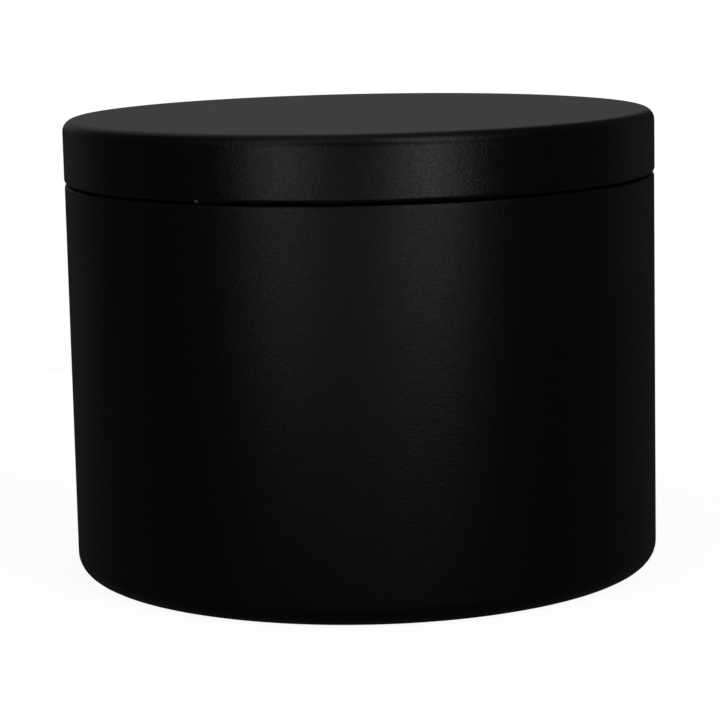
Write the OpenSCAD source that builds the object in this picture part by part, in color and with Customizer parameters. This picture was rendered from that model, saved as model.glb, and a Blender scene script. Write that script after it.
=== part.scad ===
// Round candle tin: a drawn one-piece can, a flush slip lid, and the poured wax with its wick.
// Millimetres, +Z up. The origin is the centre of the standing ring, in the plane that the tin stands on.

/* [Tin] */
// Outer diameter of the lid, which is the widest part
lid_d = 77; // [60:0.5:110]
// Height of the closed tin
total_h = 59.5; // [40:0.5:110]
// How much smaller in diameter the can's wall is than the lid
can_step = 0.1; // [0:0.05:0.2]
// Thickness of the sheet metal
sheet = 0.3; // [0.2:0.01:0.35]

/* [Lid] */
// Height of the lid, from its top face to the bottom of its rolled edge
lid_h = 8.2; // [6:0.1:9]
// Outer radius of the lid's top corner
lid_corner_r = 1.5; // [0.8:0.1:2]
// Diameter of the roll along the lid's bottom edge
lid_roll_d = 1.2; // [1.1:0.05:1.5]
// Radial clearance between the lid's roll and the can's neck
lid_fit = 0.1; // [0.05:0.01:0.2]
// Gap between the lid's roll and the shoulder it comes down to
seam_gap = 0.15; // [0.1:0.01:0.4]

/* [Can] */
// Outer radius of the corner at the foot of the wall
base_corner_r = 2.5; // [1.5:0.1:5]
// Share of the shoulder's width that its two bends take up
shoulder_bend = 0.4; // [0.36:0.02:0.98]
// Diameter of the roll round the mouth
mouth_roll_d = 1.6; // [1.3:0.05:2]
// Gap between the roll round the mouth and the lid's top plate
mouth_gap = 0.1; // [0.05:0.05:0.5]
// Width of the flat ring that the tin stands on
ring_w = 2.2; // [1:0.1:4]
// Height of the base panel above the standing ring
base_rise = 1.2; // [1:0.1:2.5]
// Outer radius of the two bends between the standing ring and the base panel
base_bend_r = 0.6; // [0.5:0.05:0.6]

/* [Candle] */
// Depth of the wax surface below the top of the closed tin
headspace = 13.5; // [11:0.5:25]
// Shrinkage gap between the set wax and whatever it was poured against
wax_gap = 0.05; // [0.02:0.01:0.1]
// Length of wick that stands out of the wax
wick_proud = 6.5; // [3:0.5:8]
// Diameter of the wick's braid
wick_d = 2.4; // [1.8:0.1:3]
// Diameter of the wick's paper core
core_d = 1; // [0.6:0.1:1.2]

/* [Wick base] */
// Diameter of the stamped metal wick base
sustainer_d = 20; // [12:1:30]
// Thickness of the wick base's metal
sustainer_sheet = 0.25; // [0.2:0.01:0.4]
// Height of the wick base's neck above its disc
sustainer_neck_h = 4.5; // [3:0.5:8]
// Inner radius of the bend from the disc to the neck
sustainer_bend_r = 0.3; // [0.2:0.05:0.6]
// Thickness of the foam sticker under the wick base
sticker_h = 1; // [0.6:0.1:2]

/* [Hidden] */
$fn = 96;

// Sliding room between pieces that are pushed one into the other
slip = 0.02;
// Share of a roll's inner radius that its straight end reaches across
roll_tail = 2 / 3;

half = sheet / 2;
lid_r = lid_d / 2;
can_r = lid_r - can_step / 2;
lid_roll_r = lid_roll_d / 2;
mouth_roll_r = mouth_roll_d / 2;

// Heights from the seam up
lid_bottom_z = total_h - lid_h;
shoulder_z = lid_bottom_z - seam_gap;
mouth_z = total_h - sheet - mouth_gap;

// The neck that the lid slips over
neck_r = lid_r - lid_roll_d - lid_fit;

// Radii along the middle of the sheet in each bend
corner_mid_r = base_corner_r - half;
shoulder_mid_r = shoulder_bend * (can_r - neck_r) / 2;
mouth_mid_r = mouth_roll_r - half;
base_mid_r = base_bend_r - half;
lid_corner_mid_r = lid_corner_r - half;
lid_roll_mid_r = lid_roll_r - half;

// The base, from the wall's corner in to the raised panel
ring_out_r = can_r - base_corner_r;
ring_in_r = ring_out_r - ring_w;
panel_r = ring_in_r - 2 * base_mid_r;
panel_z = base_rise + sheet;

// The wax and what it was poured round
wax_z = total_h - headspace;
wax_r = can_r - sheet - wax_gap;
wax_corner_r = base_corner_r - sheet - wax_gap;
channel_r = ring_in_r - base_bend_r + sheet + wax_gap;
channel_corner_r = base_bend_r - sheet - wax_gap;
panel_corner_r = base_bend_r + wax_gap;
sticker_z = panel_z + sticker_h;
disc_z = sticker_z + sustainer_sheet;
sustainer_neck_r = wick_d / 2 + slip + sustainer_sheet;
wick_z = wax_z + wick_proud;

// A quarter of a ring of sheet t thick, for a strip that runs along +X and turns left about [0, r]
module quarter_bend(r, t) {
  translate([0, r])
    intersection() {
      difference() {
        circle(r = r + t / 2);
        circle(r = r - t / 2);
      }
      translate([0, -r - t]) square(r + t);
    }
}

// A strip of bent sheet, t thick. Each step is [length of straight, bend, radius of the bend along the middle of
// the sheet], where bend is 1 for a quarter turn left, -1 for a quarter turn right and 0 for none.
module strip(steps, t, i = 0) {
  if (i < len(steps)) {
    run = steps[i][0];
    turn = steps[i][1];
    r = steps[i][2];
    if (run > 0) translate([0, -t / 2]) square([run, t]);
    if (turn != 0) {
      translate([run, 0]) {
        if (turn > 0) quarter_bend(r, t);
        else mirror([0, 1]) quarter_bend(r, t);
        translate([r, turn * r]) rotate(turn * 90) strip(steps, t, i + 1);
      }
    } else {
      translate([run, 0]) strip(steps, t, i + 1);
    }
  }
}

// The end of a rolled edge: after its first quarter turn, two more to the same side and a short straight end
function roll(turn, r) = [[0, turn, r], [0, turn, r], [roll_tail * (r - half), 0, 0]];

// A block from the axis out to r, from height a up to b, with its lower outer corner rounded
module round_foot(r, a, b, corner) {
  translate([0, a + corner]) square([r, b - a - corner]);
  translate([0, a]) square([r - corner, corner]);
  translate([r - corner, a + corner])
    intersection() {
      circle(r = corner);
      translate([0, -corner]) square(corner);
    }
}

// The drawn can: raised base panel, standing ring, wall, shoulder, neck and rolled mouth, all one sheet
module can_body() {
  foot_drop = base_rise + sheet - 2 * base_bend_r;
  wall_run = shoulder_z - half - base_corner_r - shoulder_mid_r;
  shoulder_run = can_r - neck_r - 2 * shoulder_mid_r;
  neck_run = mouth_z - shoulder_z + half - shoulder_mid_r - mouth_roll_r;
  profile = concat(
    [
      [panel_r, -1, base_mid_r],
      [foot_drop, 1, base_mid_r],
      [ring_w, 1, corner_mid_r],
      [wall_run, 1, shoulder_mid_r],
      [shoulder_run, -1, shoulder_mid_r],
      [neck_run, 1, mouth_mid_r]
    ],
    roll(1, mouth_mid_r)
  );
  color([0.07, 0.07, 0.07])
    rotate_extrude()
      translate([0, base_rise + half]) strip(profile, sheet);
}

// The slip lid: flat top plate, rounded corner, skirt and inward roll, all one sheet
module lid() {
  skirt_run = lid_h - lid_corner_r - lid_roll_r;
  profile = concat(
    [
      [lid_r - lid_corner_r, -1, lid_corner_mid_r],
      [skirt_run, -1, lid_roll_mid_r]
    ],
    roll(-1, lid_roll_mid_r)
  );
  color([0.09, 0.09, 0.09])
    rotate_extrude()
      translate([0, total_h - half]) strip(profile, sheet);
}

// What an inside corner at the point [0, 0] keeps when it is rounded to r: a square less its quarter disc
module corner_fill(r) {
  difference() {
    square(r);
    translate([r, r]) circle(r = r);
  }
}

// The poured wax, which fills the can's foot and wraps the wick and its base
module wax_fill() {
  color([0.95, 0.92, 0.83])
    rotate_extrude()
      difference() {
        round_foot(wax_r, sheet + wax_gap, wax_z, wax_corner_r);
        base_in_wax();
        wick_in_wax();
      }
}

// The hollow that the raised base panel leaves in the wax, with its rounded rim and the bend at its foot
module base_in_wax() {
  rim_r = channel_r - panel_corner_r;
  rim_z = panel_z - base_bend_r;
  square([rim_r, panel_z]);
  square([channel_r, rim_z]);
  translate([rim_r, rim_z])
    intersection() {
      circle(r = panel_corner_r);
      square([panel_corner_r, base_bend_r]);
    }
  translate([channel_r, sheet + wax_gap]) corner_fill(channel_corner_r);
}

// The hollow that the wick, its metal base and the sticker leave in the wax
module wick_in_wax() {
  collar_r = sustainer_neck_r + wax_gap;
  disc_top_z = disc_z + wax_gap;
  square([sustainer_d / 2 + wax_gap, disc_top_z]);
  square([collar_r, disc_top_z + sustainer_neck_h]);
  square([wick_d / 2 + wax_gap, total_h]);
  translate([collar_r, disc_top_z]) corner_fill(sustainer_bend_r - wax_gap);
}

// The wick's braided sleeve, from the underside of its base to its trimmed tip
module wick_braid() {
  color([0.93, 0.91, 0.86])
    translate([0, 0, sticker_z])
      difference() {
        cylinder(d = wick_d, h = wick_z - sticker_z);
        translate([0, 0, -1]) cylinder(d = core_d + 2 * slip, h = wick_z - sticker_z + 2);
      }
}

// The stiff paper core inside the braid
module wick_core() {
  color([0.85, 0.8, 0.7])
    translate([0, 0, sticker_z]) cylinder(d = core_d, h = wick_z - sticker_z);
}

// The stamped wick base: a disc with a neck that is crimped round the wick
module wick_sustainer() {
  bend_mid_r = sustainer_bend_r + sustainer_sheet / 2;
  neck_mid_r = sustainer_neck_r - sustainer_sheet / 2;
  neck_run = sustainer_neck_h - sustainer_bend_r;
  disc_run = sustainer_d / 2 - neck_mid_r - bend_mid_r;
  profile = [
    [neck_run, 1, bend_mid_r],
    [disc_run, 0, 0]
  ];
  color([0.75, 0.75, 0.76])
    rotate_extrude()
      translate([neck_mid_r, disc_z + sustainer_neck_h]) rotate(-90) strip(profile, sustainer_sheet);
}

// The double-sided foam sticker that holds the wick base to the can
module wick_sticker() {
  color([0.96, 0.96, 0.95])
    translate([0, 0, panel_z]) cylinder(d = sustainer_d, h = sticker_h);
}

can_body();
lid();
wax_fill();
wick_braid();
wick_core();
wick_sustainer();
wick_sticker();
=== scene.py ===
"""A round matte-black candle tin with its slip lid, wax and wick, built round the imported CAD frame."""

import math
import random

import bpy
from mathutils import Matrix, Vector, noise


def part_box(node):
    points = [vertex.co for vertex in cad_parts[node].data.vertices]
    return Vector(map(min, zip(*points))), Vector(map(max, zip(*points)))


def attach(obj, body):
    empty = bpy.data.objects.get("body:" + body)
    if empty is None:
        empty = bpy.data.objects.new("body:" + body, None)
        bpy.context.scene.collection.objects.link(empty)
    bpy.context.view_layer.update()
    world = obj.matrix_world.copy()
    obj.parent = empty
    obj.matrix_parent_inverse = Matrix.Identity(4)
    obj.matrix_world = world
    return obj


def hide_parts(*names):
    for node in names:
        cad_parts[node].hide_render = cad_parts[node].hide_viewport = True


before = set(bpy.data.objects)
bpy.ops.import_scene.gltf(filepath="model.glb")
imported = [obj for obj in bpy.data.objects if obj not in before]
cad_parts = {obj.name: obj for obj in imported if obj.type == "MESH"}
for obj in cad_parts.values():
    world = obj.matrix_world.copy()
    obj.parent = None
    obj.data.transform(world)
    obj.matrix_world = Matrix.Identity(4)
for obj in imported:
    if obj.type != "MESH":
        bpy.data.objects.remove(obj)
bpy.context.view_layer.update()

# ---------------------------------------------------------------- sizes, in metres

MM = 0.001
CAN_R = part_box("can_body")[1].x
MOUTH_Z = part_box("can_body")[1].z
LID_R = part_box("lid")[1].x
LID_BOTTOM_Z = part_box("lid")[0].z
TOP_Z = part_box("lid")[1].z
WAX_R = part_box("wax_fill")[1].x
WAX_FLOOR_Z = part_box("wax_fill")[0].z
WAX_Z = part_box("wax_fill")[1].z
WICK_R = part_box("wick_braid")[1].x
WICK_FOOT_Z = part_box("wick_braid")[0].z
WICK_TIP_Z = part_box("wick_braid")[1].z
CORE_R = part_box("wick_core")[1].x
DISC_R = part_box("wick_sustainer")[1].x
DISC_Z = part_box("wick_sustainer")[0].z
NECK_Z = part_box("wick_sustainer")[1].z
PANEL_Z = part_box("wick_sticker")[0].z

# The rest of the tin's sizes, as in the CAD
SHEET = 0.3 * MM
HALF_SHEET = SHEET / 2
LID_CORNER_R = 1.5 * MM
LID_ROLL_R = 0.6 * MM
MOUTH_ROLL_R = 0.8 * MM
BASE_CORNER_R = 2.5 * MM
BASE_BEND_R = 0.6 * MM
RING_W = 2.2 * MM
SEAM_GAP = 0.15 * MM
LID_FIT = 0.1 * MM
SHOULDER_BEND = 0.4
ROLL_TAIL = 2 / 3

SHOULDER_Z = LID_BOTTOM_Z - SEAM_GAP
NECK_R = LID_R - 2 * LID_ROLL_R - LID_FIT
BASE_RISE = PANEL_Z - SHEET

# How many steps a turned piece has round its axis
ROUND_STEPS = 192

# ---------------------------------------------------------------- camera, at the photograph's viewing angle

LENS_MM = 136.9
SENSOR_MM = 36.0
CAMERA_DISTANCE = 362.4 * MM
CAMERA_ELEVATION = math.radians(8.66)
CAMERA_ROLL = math.radians(-1.246)
AIM_RIGHT = -0.44 * MM
AIM_UP = -3.07 * MM


def make_camera():
    """The camera looks along +Y from a little above, with a slight roll."""
    data = bpy.data.cameras.new("camera")
    data.lens = LENS_MM
    data.sensor_width = SENSOR_MM
    data.clip_start = 0.01
    camera = bpy.data.objects.new("camera", data)
    bpy.context.scene.collection.objects.link(camera)
    back = Vector((0, -math.cos(CAMERA_ELEVATION), math.sin(CAMERA_ELEVATION)))
    up = Vector((0, math.sin(CAMERA_ELEVATION), math.cos(CAMERA_ELEVATION)))
    middle = Vector((0, 0, TOP_Z / 2))
    camera.location = middle + back * CAMERA_DISTANCE
    aim = middle + Vector((AIM_RIGHT, 0, 0)) + up * AIM_UP
    level = (aim - camera.location).to_track_quat("-Z", "Y").to_matrix()
    turned = level @ Matrix.Rotation(CAMERA_ROLL, 3, "Z")
    camera.rotation_mode = "QUATERNION"
    camera.rotation_quaternion = turned.to_quaternion()
    bpy.context.scene.camera = camera


# ---------------------------------------------------------------- outlines: lists of (radius, height, edge)
# edge is how much of an outside corner a point is, from 0 on a flat face to 1 at the crest of a bend


def arc(centre, radius, start, turn, steps, crest=0.0):
    """Points on an arc, from angle start through turn, in degrees. crest is the edge value halfway."""
    points = []
    for i in range(steps + 1):
        share = i / steps
        a = math.radians(start + turn * share)
        edge = crest * math.sin(math.pi * share)
        points.append((centre[0] + radius * math.cos(a), centre[1] + radius * math.sin(a), edge))
    return points


def straight(a, b, spacing):
    """Points from a to b, ends included, about spacing apart, with one close to each end to hold a bend."""
    length = math.dist(a, b)
    count = max(1, round(length / spacing))
    shares = [i / count for i in range(count + 1)]
    hold = 0.12 * MM / length if length else 1
    if hold < shares[1] / 3:
        shares = [0, hold, *shares[1:-1], 1 - hold, 1]
    return [(a[0] + (b[0] - a[0]) * s, a[1] + (b[1] - a[1]) * s, 0.0) for s in shares]


def joined(*runs):
    """Runs of points as one outline, without the points where two runs meet."""
    outline = []
    for run in runs:
        for p in run:
            if not outline or math.dist(p[:2], outline[-1][:2]) > 1e-7:
                outline.append(p)
    return outline


def strip_faces(start, steps, thickness, bend_steps=8):
    """The left and right faces of a strip of bent sheet that sets out from start along +R.

    A step is (straight, turn, radius): a straight run, then a quarter turn, 1 to the left and -1 to the
    right, with its radius along the middle of the sheet. turn 0 ends the strip.
    """
    half = thickness / 2
    x, z = start
    heading = 0
    faces = {1: [], -1: []}
    for run, turn, radius in steps:
        a = math.radians(heading)
        ahead = (math.cos(a), math.sin(a))
        left = (-ahead[1], ahead[0])
        end = (x + ahead[0] * run, z + ahead[1] * run)
        for side, points in faces.items():
            offset = (left[0] * half * side, left[1] * half * side)
            if run > 0:
                points += straight(
                    (x + offset[0], z + offset[1]), (end[0] + offset[0], end[1] + offset[1]), 4 * MM
                )
            if turn:
                centre = (end[0] + left[0] * radius * turn, end[1] + left[1] * radius * turn)
                outer = side != turn
                points += arc(
                    centre,
                    radius + half if outer else radius - half,
                    heading - 90 * turn,
                    90 * turn,
                    bend_steps,
                    crest=1.0 if outer else 0.0,
                )
        if turn:
            x = end[0] + (left[0] * turn + ahead[0]) * radius
            z = end[1] + (left[1] * turn + ahead[1]) * radius
            heading += 90 * turn
        else:
            x, z = end
    return joined(faces[1]), joined(faces[-1])


def can_outline():
    """The can's inside and outside faces: base panel, ring, wall, shoulder, neck and rolled mouth."""
    corner = BASE_CORNER_R - HALF_SHEET
    bend = BASE_BEND_R - HALF_SHEET
    shoulder = SHOULDER_BEND * (CAN_R - NECK_R) / 2
    mouth = MOUTH_ROLL_R - HALF_SHEET
    ring_in = CAN_R - BASE_CORNER_R - RING_W
    steps = [
        (ring_in - 2 * bend, -1, bend),
        (BASE_RISE + SHEET - 2 * BASE_BEND_R, 1, bend),
        (RING_W, 1, corner),
        (SHOULDER_Z - HALF_SHEET - BASE_CORNER_R - shoulder, 1, shoulder),
        (CAN_R - NECK_R - 2 * shoulder, -1, shoulder),
        (MOUTH_Z - SHOULDER_Z + HALF_SHEET - shoulder - MOUTH_ROLL_R, 1, mouth),
        (0, 1, mouth),
        (0, 1, mouth),
        (ROLL_TAIL * (mouth - HALF_SHEET), 0, 0),
    ]
    return strip_faces((0, BASE_RISE + HALF_SHEET), steps, SHEET)


def lid_outline():
    """The lid's outside and inside faces: top plate, corner, skirt and inward roll."""
    corner = LID_CORNER_R - HALF_SHEET
    rolled = LID_ROLL_R - HALF_SHEET
    steps = [
        (LID_R - LID_CORNER_R, -1, corner),
        (TOP_Z - LID_BOTTOM_Z - LID_CORNER_R - LID_ROLL_R, -1, rolled),
        (0, -1, rolled),
        (0, -1, rolled),
        (ROLL_TAIL * (rolled - HALF_SHEET), 0, 0),
    ]
    return strip_faces((0, TOP_Z - HALF_SHEET), steps, SHEET)


# ---------------------------------------------------------------- mesh makers


def new_piece(name, verts, faces, materials, face_materials=None, values=None, sharp_deg=40):
    """A smooth-shaded mesh piece. values is a number per vertex for the material to read as "edge"."""
    mesh = bpy.data.meshes.new(name)
    mesh.from_pydata(verts, [], faces)
    for material in materials:
        mesh.materials.append(material)
    if face_materials:
        mesh.polygons.foreach_set("material_index", face_materials)
    if values:
        layer = mesh.attributes.new("edge", "FLOAT", "POINT")
        layer.data.foreach_set("value", values)
    mesh.validate()
    mesh.shade_smooth()
    mesh.set_sharp_from_angle(angle=math.radians(sharp_deg))
    piece = bpy.data.objects.new(name, mesh)
    bpy.context.scene.collection.objects.link(piece)
    return piece


def lathe(name, outline, materials, sides=None, closed=False, steps=ROUND_STEPS, shift=None):
    """Turns an outline of (radius, height, edge) round the Z axis.

    The faces point outwards where the outline runs anticlockwise in the (radius, height) plane; a caller
    whose outline runs the other way flips them. sides is the material number of each stretch of the outline.
    closed joins the last point to the first. shift moves each vertex: it is given the radius, angle and
    height, and returns the new radius and height.
    """
    verts, values, rings = [], [], []
    for radius, height, edge in outline:
        if radius < 1e-7:
            rings.append([len(verts)])
            verts.append((0, 0, height))
            values.append(edge)
            continue
        rings.append(range(len(verts), len(verts) + steps))
        for k in range(steps):
            a = 2 * math.pi * k / steps
            r, z = shift(radius, a, height) if shift else (radius, height)
            verts.append((r * math.cos(a), r * math.sin(a), z))
            values.append(edge)
    faces, numbers = [], []
    pairs = list(zip(rings, rings[1:])) + ([(rings[-1], rings[0])] if closed else [])
    for i, (a, b) in enumerate(pairs):
        for k in range(steps):
            n = (k + 1) % steps
            if len(a) == 1:
                faces.append((a[0], b[k], b[n]))
            elif len(b) == 1:
                faces.append((a[k], b[0], a[n]))
            else:
                faces.append((a[k], b[k], b[n], a[n]))
            numbers.append(sides[i] if sides else 0)
    faces = [tuple(reversed(f)) for f in faces]
    return new_piece(name, verts, faces, materials, numbers, values)


def sheet_piece(name, outer, inner, outside, inside):
    """A pressed sheet from its two faces, each from the axis to the free edge, with a material for each."""
    a, b = outer[-1], inner[-1]
    cut = ((a[0] + b[0]) / 2, (a[1] + b[1]) / 2, 0.0)
    outline = [*outer, cut, *reversed(inner)]
    sides = [0] * (len(outer) - 1) + [1] * (len(inner) + 1)
    return lathe(name, outline, [outside, inside], sides)


def tube(path, radius, sides, tip_round=0.35):
    """Vertices and faces of a closed tube along path. Its two ends are tip_round narrower than the rest."""
    verts, faces = [], []
    up = Vector((0, 0, 1))
    for i, p in enumerate(path):
        before, after = path[max(i - 1, 0)], path[min(i + 1, len(path) - 1)]
        along = (after - before).normalized()
        side = along.cross(up)
        side = side.normalized() if side.length > 1e-6 else Vector((1, 0, 0))
        other = along.cross(side)
        at_end = i in (0, len(path) - 1)
        r = radius * (1 - tip_round) if at_end else radius
        for k in range(sides):
            a = 2 * math.pi * k / sides
            verts.append(p + (side * math.cos(a) + other * math.sin(a)) * r)
    for i in range(len(path) - 1):
        for k in range(sides):
            n = (k + 1) % sides
            faces.append((i * sides + k, i * sides + n, (i + 1) * sides + n, (i + 1) * sides + k))
    faces.append(tuple(reversed(range(sides))))
    last = (len(path) - 1) * sides
    faces.append(tuple(last + k for k in range(sides)))
    return verts, faces


# ---------------------------------------------------------------- material nodes


class Material:
    """A Principled material and short calls that add nodes to it."""

    def __init__(self, name, **constants):
        self.material = bpy.data.materials.new(name)
        self.material.use_nodes = True
        self.tree = self.material.node_tree
        self.shader = self.tree.nodes["Principled BSDF"]
        for socket, value in constants.items():
            self.shader.inputs[socket.replace("_", " ")].default_value = value

    def node(self, kind, inputs=None, output=0, **settings):
        """Adds a node, sets or links its inputs, and returns one of its outputs."""
        node = self.tree.nodes.new("ShaderNode" + kind)
        for name, value in settings.items():
            setattr(node, name, value)
        for key, value in (inputs or {}).items():
            self.feed(node.inputs[key], value)
        return node.outputs[output]

    def feed(self, socket, value):
        if isinstance(value, bpy.types.NodeSocket):
            self.tree.links.new(value, socket)
        else:
            socket.default_value = value

    def drive(self, socket, value):
        self.feed(self.shader.inputs[socket], value)

    def place(self):
        """Where a surface point is in the piece's own frame, in metres."""
        return self.node("TexCoord", output="Object")

    def noise(self, vector, scale, detail=2.0, rough=0.5):
        return self.node(
            "TexNoise", {"Vector": vector, "Scale": scale, "Detail": detail, "Roughness": rough}, "Fac"
        )

    def sum(self, a, b):
        return self.node("Math", {0: a, 1: b}, operation="ADD")

    def times(self, a, b):
        return self.node("Math", {0: a, 1: b}, operation="MULTIPLY")

    def remap(self, value, low, high, to_low, to_high, smooth=False):
        return self.node(
            "MapRange",
            {"Value": value, "From Min": low, "From Max": high, "To Min": to_low, "To Max": to_high},
            interpolation_type="SMOOTHSTEP" if smooth else "LINEAR",
        )

    def mix(self, share, a, b):
        """A colour between a and b."""
        node = self.tree.nodes.new("ShaderNodeMix")
        node.data_type = "RGBA"
        colours = [s for s in node.inputs if s.type == "RGBA"]
        self.feed(node.inputs[0], share)
        self.feed(colours[0], a)
        self.feed(colours[1], b)
        return next(s for s in node.outputs if s.type == "RGBA")

    def bump(self, height, depth, strength=1.0, under=None):
        """A normal from a height of 0 to 1 that stands for depth metres."""
        inputs = {"Height": height, "Distance": depth, "Strength": strength}
        if under is not None:
            inputs["Normal"] = under
        return self.node("Bump", inputs)


def grey(value, tint=0.0):
    """A neutral colour, cooler with a positive tint."""
    return (value * (1 - tint), value, value * (1 + tint), 1.0)


def black_paint(name, base, rough, specular, grain_depth, pale_spot=None):
    """Matte black stoving paint: fine even grain, barely cloudy in its sheen, rubbed a little on the edges.

    The last argument is the point of a small pale grey spot on the paint, or None.
    """
    m = Material(name, Specular_IOR_Level=specular)
    place = m.place()
    grain = m.noise(place, 2700, detail=3.0, rough=0.8)
    cloud = m.noise(place, 60, detail=3.0)
    edge = m.node("Attribute", attribute_name="edge", output="Fac")
    rubbed = m.times(m.remap(edge, 0.45, 1.0, 0.0, 1.0, smooth=True), m.remap(cloud, 0.45, 0.75, 0.0, 1.0))
    tone = m.mix(m.remap(grain, 0.3, 0.7, 0.0, 1.0), grey(base * 0.6), grey(base * 1.4))
    tone = m.mix(m.times(rubbed, 0.2), tone, grey(base * 3.0))
    # A small pale grey spot in the colour round one point of the lid's rolled edge
    if pale_spot:
        off = m.node("VectorMath", {0: place, 1: pale_spot}, output=1, operation="DISTANCE")
        pale_spot_mask = m.remap(off, 0.2 * MM, 0.38 * MM, 1.0, 0.0, smooth=True)
        tone = m.mix(pale_spot_mask, tone, grey(0.4))
    m.drive("Base Color", tone)
    sheen = m.remap(cloud, 0.3, 0.7, rough - 0.008, rough + 0.008)
    speckled = m.sum(sheen, m.remap(grain, 0.3, 0.7, 0.22 * rough, -0.22 * rough))
    m.drive("Roughness", m.sum(speckled, m.times(rubbed, -0.03)))
    m.drive("Normal", m.bump(grain, grain_depth))
    return m.material


def bare_tinplate(name):
    """Bare drawn tinplate: bright, faintly ringed by drawing, with soft spangle and fine wipe marks."""
    m = Material(name, Metallic=1.0, Specular_IOR_Level=0.5)
    place = m.place()
    parts = m.tree.nodes.new("ShaderNodeSeparateXYZ")
    m.feed(parts.inputs[0], place)
    x, y, z = parts.outputs
    radius = m.node("Math", {0: m.sum(m.times(x, x), m.times(y, y))}, operation="SQRT")
    along = m.sum(radius, z)
    spun = m.node("CombineXYZ", {0: m.times(x, 0.02), 1: m.times(y, 0.02), 2: along})
    rings = m.noise(spun, 3000, detail=4.0, rough=0.65)
    spangle = m.noise(place, 260, detail=2.0)
    cloud = m.noise(place, 45, detail=3.0)
    tone = m.mix(m.remap(cloud, 0.3, 0.7, 0.0, 1.0), grey(0.55, 0.01), grey(0.66, 0.01))
    m.drive("Base Color", m.mix(m.remap(spangle, 0.35, 0.7, 0.0, 0.35), tone, grey(0.48, 0.02)))
    m.drive("Roughness", m.sum(m.remap(rings, 0.3, 0.7, 0.24, 0.36), m.remap(cloud, 0.3, 0.7, -0.04, 0.05)))
    m.drive("Normal", m.bump(rings, 0.006 * MM, 0.5))
    return m.material


def soy_wax(name):
    """Ivory soy wax: soft translucent body, mottled with frosting, with a smooth but not polished skin."""
    m = Material(name, Subsurface_Weight=0.35, Subsurface_Scale=1.0, IOR=1.45)
    m.shader.inputs["Subsurface Radius"].default_value = (2.5 * MM, 1.8 * MM, 1.0 * MM)
    place = m.place()
    mottle = m.noise(place, 110, detail=5.0, rough=0.62)
    frost = m.noise(place, 700, detail=3.0, rough=0.7)
    skin = m.noise(place, 2200, detail=2.0)
    pale = m.remap(m.sum(m.times(mottle, 0.7), m.times(frost, 0.3)), 0.42, 0.62, 0.0, 1.0, smooth=True)
    m.drive("Base Color", m.mix(pale, (0.88, 0.82, 0.68, 1), (0.93, 0.89, 0.78, 1)))
    m.drive("Roughness", m.remap(pale, 0.0, 1.0, 0.36, 0.55))
    m.drive("Normal", m.bump(skin, 0.01 * MM, 0.6, m.bump(mottle, 0.12 * MM, 0.5)))
    return m.material


def cotton(name):
    """Waxed cotton yarn: fine twisted fibres, darker where the fibre bump is low, a painted shade in the
    hollows.
    """
    m = Material(name, Sheen_Weight=0.25)
    place = m.place()
    stretched = m.node("Mapping", {"Vector": place, "Scale": (1, 1, 0.18)})
    fibre = m.noise(stretched, 9000, detail=3.0, rough=0.7)
    soaked = m.noise(place, 500, detail=2.0)
    # Fibre tone, darker where the fibre bump is low: painted shade in the hollows between the fibres
    tone = m.mix(m.remap(fibre, 0.3, 0.7, 0.0, 1.0), (0.68, 0.62, 0.5, 1), (0.88, 0.85, 0.77, 1))
    m.drive("Base Color", m.mix(m.remap(soaked, 0.4, 0.7, 0.0, 0.4), tone, (0.72, 0.64, 0.47, 1)))
    m.drive("Roughness", m.remap(fibre, 0.3, 0.7, 0.6, 0.85))
    m.drive("Normal", m.bump(fibre, 0.03 * MM, 0.8))
    return m.material


def core_paper(name):
    """The wick core's rolled brown paper."""
    m = Material(name)
    fibre = m.noise(m.place(), 6000, detail=4.0, rough=0.7)
    m.drive("Base Color", m.mix(m.remap(fibre, 0.3, 0.7, 0, 1), (0.5, 0.42, 0.29, 1), (0.68, 0.6, 0.45, 1)))
    m.drive("Roughness", m.remap(fibre, 0.3, 0.7, 0.75, 0.95))
    m.drive("Normal", m.bump(fibre, 0.02 * MM, 0.6))
    return m.material


def sticker_foam(name):
    """White closed-cell foam."""
    m = Material(name)
    cells = m.node("TexVoronoi", {"Vector": m.place(), "Scale": 3500}, "Distance")
    m.drive("Base Color", m.mix(m.remap(cells, 0.1, 0.6, 0, 1), grey(0.86), grey(0.7)))
    m.drive("Roughness", m.remap(cells, 0.0, 0.7, 0.7, 0.9))
    m.drive("Normal", m.bump(cells, 0.04 * MM, 0.6))
    return m.material


def pale_floor(name):
    """A plain white table top whose white is mostly painted light: it glows by itself, less round the tin
    than farther out, so the shadow seen round the tin is partly this painted dip and partly the lamps' real
    shadow.
    """
    m = Material(name, Roughness=0.9, Specular_IOR_Level=0.0)
    place = m.place()
    mottle = m.noise(place, 30, detail=2.0)
    m.drive("Base Color", m.mix(m.remap(mottle, 0.3, 0.7, 0, 1), grey(0.4), grey(0.42)))
    m.shader.inputs["Emission Color"].default_value = (1, 1, 1, 1)
    away = m.node("VectorMath", {0: place}, output=1, operation="LENGTH")
    # Painted light: the floor's own glow, lower round the tin (a painted shade there) and full white farther
    # out
    m.drive("Emission Strength", m.remap(away, 0.08, 0.4, FLOOR_GLOW, 1.0, smooth=True))
    return m.material


# ---------------------------------------------------------------- pieces


def edge_point(azimuth):
    """The point of the lid's rolled edge at this azimuth in degrees, where 0 faces the camera."""
    a = math.radians(azimuth)
    r = LID_R - 0.2 * MM
    return Vector((r * math.sin(a), -r * math.cos(a), LID_BOTTOM_Z + 0.12 * MM))


def make_can(paint, tinplate):
    inside, outside = can_outline()
    can = sheet_piece("can", outside, inside, paint, tinplate)
    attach(can, "can")
    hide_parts("can_body")


def make_lid(paint, tinplate):
    outside, inside = lid_outline()
    lid = sheet_piece("slip_lid", outside, inside, paint, tinplate)
    lid.data.flip_normals()
    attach(lid, "lid")
    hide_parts("lid")


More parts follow.
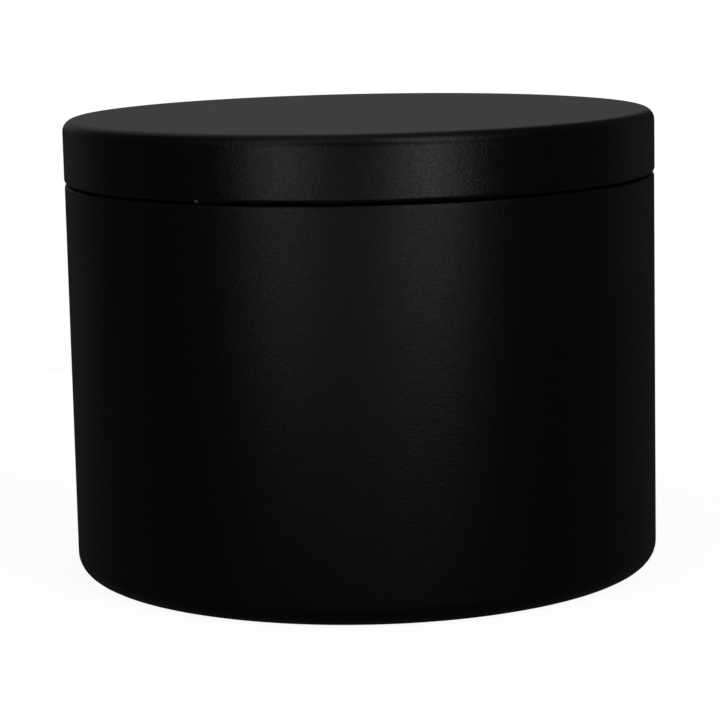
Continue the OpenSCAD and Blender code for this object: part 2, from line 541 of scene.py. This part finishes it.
def wax_top(r, a):
    """Height of the wax surface over its level: it climbs the wall and the wick and sinks between."""
    wall = 0.7 * MM * math.exp(-(WAX_R - r) / (1.0 * MM))
    wick = 0.45 * MM * math.exp(-(r - WICK_R) / (0.8 * MM))
    sink = -0.25 * MM * math.exp(-(((r - 7 * MM) / (5 * MM)) ** 2))
    uneven = noise.noise(Vector((r * math.cos(a) * 90, r * math.sin(a) * 90, 3.0))) * 0.1 * MM
    return wall + wick + sink + uneven


def make_wax(material):
    gap = 0.05 * MM
    disc_top = DISC_Z + 0.25 * MM + gap
    collar = WICK_R + 0.32 * MM
    hole = WICK_R + gap
    corner = BASE_CORNER_R - SHEET - gap
    ring_in = CAN_R - BASE_CORNER_R - RING_W - BASE_BEND_R + SHEET + gap
    rim = BASE_BEND_R + gap
    points = joined(
        straight((hole, NECK_Z + gap), (hole, WAX_Z), 6 * MM),
        straight((hole, WAX_Z), (WAX_R - 3 * MM, WAX_Z), 0.7 * MM),
        straight((WAX_R - 3 * MM, WAX_Z), (WAX_R, WAX_Z), 0.2 * MM),
        straight((WAX_R, WAX_Z), (WAX_R, WAX_FLOOR_Z + corner), 5 * MM),
        arc((WAX_R - corner, WAX_FLOOR_Z + corner), corner, 0, -90, 8),
        straight((WAX_R - corner, WAX_FLOOR_Z), (ring_in, WAX_FLOOR_Z), 2 * MM),
        arc((ring_in - rim, PANEL_Z - BASE_BEND_R), rim, 0, 67, 6),
        straight((ring_in - rim, PANEL_Z), (DISC_R + gap, PANEL_Z), 3 * MM),
        straight((DISC_R + gap, PANEL_Z), (DISC_R + gap, disc_top), 1 * MM),
        straight((DISC_R + gap, disc_top), (collar, disc_top), 2 * MM),
        straight((collar, disc_top), (collar, NECK_Z + gap), 2 * MM),
    )

    def shift(r, a, z):
        return (r, z + wax_top(r, a)) if z > WAX_Z - 1e-6 else (r, z)

    wax = lathe("wax", points, [material], closed=True, shift=shift)
    wax.data.flip_normals()
    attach(wax, "can")
    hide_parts("wax_fill")
    return wax


# The wick leans and curls over a little above the wax
WICK_LEAN = 0.35 * MM
YARNS = 8
YARN_R = 0.24 * MM
YARN_LIFT = 0.12 * MM
BRAID_PITCH = 7.0 * MM


def wick_bend(z):
    """How far the wick is off its axis at height z."""
    above = max(0.0, (z - WAX_Z) / (WICK_TIP_Z - WAX_Z))
    return Vector((WICK_LEAN * above**2, -WICK_LEAN * 0.5 * above**2, 0))


def braid_yarn(number, way, rng):
    """One yarn of the braid: a helix that goes over and under the yarns of the other way."""
    mid_r = WICK_R - YARN_R - YARN_LIFT
    tip = WICK_TIP_Z - rng.uniform(0.0, 0.35) * MM
    foot = WICK_FOOT_Z + 0.15 * MM
    rings = round((tip - foot) / (0.22 * MM))
    path = []
    for i in range(rings + 1):
        z = foot + (tip - foot) * i / rings
        turn = (z - WICK_FOOT_Z) / BRAID_PITCH
        a = 2 * math.pi * (number / YARNS + way * turn)
        over = math.cos(2 * math.pi * turn * YARNS + math.pi * (number + (way < 0)))
        r = mid_r + over * way * YARN_LIFT
        path.append(Vector((r * math.cos(a), r * math.sin(a), z)) + wick_bend(z))
    return path


def make_wick(material):
    rng = random.Random(11)
    verts, faces = [], []
    for way in (1, -1):
        for number in range(YARNS):
            v, f = tube(braid_yarn(number, way, rng), YARN_R, 8)
            faces += [tuple(k + len(verts) for k in face) for face in f]
            verts += v
    wick = new_piece("wick_braid_yarns", verts, faces, [material], sharp_deg=60)
    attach(wick, "can")
    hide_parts("wick_braid")
    return wick


def make_core(material):
    """The core is a strip of paper rolled up tight."""
    turns, per_turn, rings = 2.6, 20, 24
    pitch = CORE_R / (turns + 0.4)
    count = round(turns * per_turn)
    thick = pitch * 0.8
    verts, faces = [], []
    for i in range(rings + 1):
        z = WICK_FOOT_Z + (WICK_TIP_Z - WICK_FOOT_Z - 0.15 * MM) * i / rings
        for side in (0, thick):
            for k in range(count + 1):
                a = 2 * math.pi * k / per_turn
                r = CORE_R - pitch * k / per_turn - side
                verts.append(Vector((r * math.cos(a), r * math.sin(a), z)) + wick_bend(z))
    row = count + 1
    ring = 2 * row
    loop = list(range(row)) + list(range(ring - 1, row - 1, -1))
    for i in range(rings):
        for k in range(ring):
            a, b = loop[k], loop[(k + 1) % ring]
            faces.append((i * ring + a, i * ring + b, (i + 1) * ring + b, (i + 1) * ring + a))
    for i, turned in ((0, True), (rings, False)):
        for k in range(count):
            quad = (i * ring + k, i * ring + k + 1, i * ring + row + k + 1, i * ring + row + k)
            faces.append(tuple(reversed(quad)) if turned else quad)
    core = new_piece("wick_core_paper", verts, faces, [material])
    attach(core, "can")
    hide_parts("wick_core")
    return core


def make_sustainer(material):
    """The wick base: a flat disc with a neck that is crimped in on four sides."""
    sheet = 0.25 * MM
    crimp_depth = 0.12 * MM
    crimp_z = NECK_Z - 1.6 * MM
    crimp_spread = 0.9 * MM
    half = sheet / 2
    bend = 0.3 * MM + half
    neck = WICK_R + 0.02 * MM + half
    inner = joined(
        straight((neck - half, NECK_Z), (neck - half, DISC_Z + bend + half), 0.6 * MM),
        arc((neck + bend, DISC_Z + bend + half), bend + half, 180, 90, 8),
        straight((neck + bend, DISC_Z), (DISC_R, DISC_Z), 0.4 * MM),
    )
    outer = joined(
        straight((neck + half, NECK_Z), (neck + half, DISC_Z + bend + half), 0.6 * MM),
        arc((neck + bend, DISC_Z + bend + half), bend - half, 180, 90, 8),
        straight((neck + bend, DISC_Z + sheet), (DISC_R, DISC_Z + sheet), 0.4 * MM),
    )

    def shift(r, a, z):
        if z > DISC_Z + 1.2 * MM:
            near = math.exp(-(((z - crimp_z) / crimp_spread) ** 2))
            return (r - crimp_depth * near * (0.5 + 0.5 * math.cos(4 * a)), z)
        return (r, z)

    base = lathe("wick_base", inner + list(reversed(outer)), [material], closed=True, shift=shift)
    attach(base, "can")
    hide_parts("wick_sustainer")
    return base


def make_sticker(material):
    """The foam sticker, with its edge bulging a little under the wick base."""
    low, high = PANEL_Z, DISC_Z
    flat_r = DISC_R - 0.25 * MM
    bulge = 0.45
    outline = joined(
        straight((0, low), (flat_r, low), 1.5 * MM),
        arc((flat_r, (low + high) / 2), (high - low) / 2, -90, 180, 8),
        straight((flat_r, high), (0, high), 1.5 * MM),
    )
    points = []
    for r, z, edge in outline:
        squeezed = r if r < flat_r else flat_r + (r - flat_r) * bulge
        points.append((squeezed, z, edge))
    sticker = lathe("wick_base_sticker", points, [material])
    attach(sticker, "can")
    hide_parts("wick_sticker")
    return sticker


# ---------------------------------------------------------------- surroundings

# How bright the world is for everything but the camera, and how brightly the floor's painted glow shines
# round the tin, where it is dimmed below full white as a painted shade
WORLD_LIGHT = 0.0288
FLOOR_GLOW = 0.93


def make_floor():
    """The floor is there for the camera only: the black tin would mirror a white one far too brightly."""
    size = 3.0
    z = -0.05 * MM
    mesh = bpy.data.meshes.new("floor")
    corners = [(-size, -size, z), (size, -size, z), (size, size, z), (-size, size, z)]
    mesh.from_pydata(corners, [], [(0, 1, 2, 3)])
    mesh.materials.append(pale_floor("pale_floor"))
    floor = bpy.data.objects.new("floor", mesh)
    bpy.context.scene.collection.objects.link(floor)
    floor.visible_diffuse = False
    floor.visible_glossy = False
    floor.visible_shadow = False


def softbox(name, azimuth, elevation, distance, width, height, power, only=None):
    """A soft area light that faces the tin. Azimuth 0 is the camera's side, and 90 the camera's right.

    only is a list of the pieces that it lights; without it the light falls on everything.
    """
    data = bpy.data.lights.new(name, "AREA")
    data.shape = "RECTANGLE"
    data.size = width
    data.size_y = height
    data.energy = power
    light = bpy.data.objects.new(name, data)
    bpy.context.scene.collection.objects.link(light)
    a, e = math.radians(azimuth), math.radians(elevation)
    way = Vector((math.sin(a) * math.cos(e), -math.cos(a) * math.cos(e), math.sin(e)))
    middle = Vector((0, 0, TOP_Z / 2))
    light.location = middle + way * distance
    light.rotation_mode = "QUATERNION"
    light.rotation_quaternion = (-way).to_track_quat("-Z", "Y")
    light.visible_camera = False
    if only:
        lit = bpy.data.collections.new(name + "_lights_only")
        for piece in only:
            lit.objects.link(piece)
        light.light_linking.receiver_collection = lit


def make_lights(contents):
    """Small softboxes close to the tin, a wide weak one low behind for the lid's top, and the candle's own.

    Each is a name, azimuth and elevation in degrees, distance, width and height in metres, and watts.
    """
    softbox("front_right", 23.5, 7.7, 0.165, 0.046, 0.030, 0.0077)
    softbox("front_left", -25.6, 9.1, 0.160, 0.045, 0.061, 0.0073)
    softbox("low_right", 20.0, 1.0, 0.17, 0.09, 0.045, 0.0018)
    softbox("low_middle", 0.0, -2.0, 0.17, 0.09, 0.040, 0.0024)
    softbox("high_right", 30.0, 43.0, 0.4, 0.105, 0.3, 0.113)
    softbox("high_left", -35.0, 43.0, 0.4, 0.105, 0.3, 0.055)
    softbox("overhead", 0.0, 85.0, 0.9, 0.8, 0.8, 0.15)
    softbox("back_high", 197.0, 55.0, 0.9, 0.6, 0.6, 0.08)
    softbox("backdrop", 187.0, 24.0, 1.8, 1.4, 1.4, 0.62)
    softbox("back_low", 180.0, 0.0, 0.16, 0.09, 0.05, 0.03)
    softbox("rim_right", 125.0, 5.0, 0.9, 0.35, 0.5, 0.011)
    softbox("rim_left", -140.0, 5.0, 0.9, 0.35, 0.5, 0.013)
    softbox("candle_front", -20.0, 50.0, 0.7, 0.3, 0.3, 2.4, contents)
    softbox("candle_back", 160.0, 55.0, 0.7, 0.3, 0.3, 1.6, contents)


def make_world():
    """Dim, even light round the tin, and a white background for the camera."""
    world = bpy.data.worlds.new("studio")
    world.use_nodes = True
    tree = world.node_tree
    dim = tree.nodes["Background"]
    dim.inputs["Color"].default_value = (1, 1, 1, 1)
    dim.inputs["Strength"].default_value = WORLD_LIGHT
    white = tree.nodes.new("ShaderNodeBackground")
    white.inputs["Color"].default_value = (1, 1, 1, 1)
    path = tree.nodes.new("ShaderNodeLightPath")
    mix = tree.nodes.new("ShaderNodeMixShader")
    tree.links.new(path.outputs["Is Camera Ray"], mix.inputs[0])
    tree.links.new(dim.outputs[0], mix.inputs[1])
    tree.links.new(white.outputs[0], mix.inputs[2])
    tree.links.new(mix.outputs[0], tree.nodes["World Output"].inputs["Surface"])
    bpy.context.scene.world = world
    bpy.context.scene.view_settings.view_transform = "Standard"


make_camera()
tinplate = bare_tinplate("bare_tinplate")
make_can(black_paint("can_black", 0.003, 0.335, 0.50, 0.045 * MM), tinplate)
make_lid(black_paint("lid_black", 0.003, 0.262, 0.55, 0.045 * MM, edge_point(-30.6)), tinplate)
candle = [
    make_wax(soy_wax("soy_wax")),
    make_wick(cotton("waxed_cotton")),
    make_core(core_paper("core_paper")),
    make_sustainer(tinplate),
    make_sticker(sticker_foam("sticker_foam")),
]
make_floor()
make_lights(candle)
make_world()
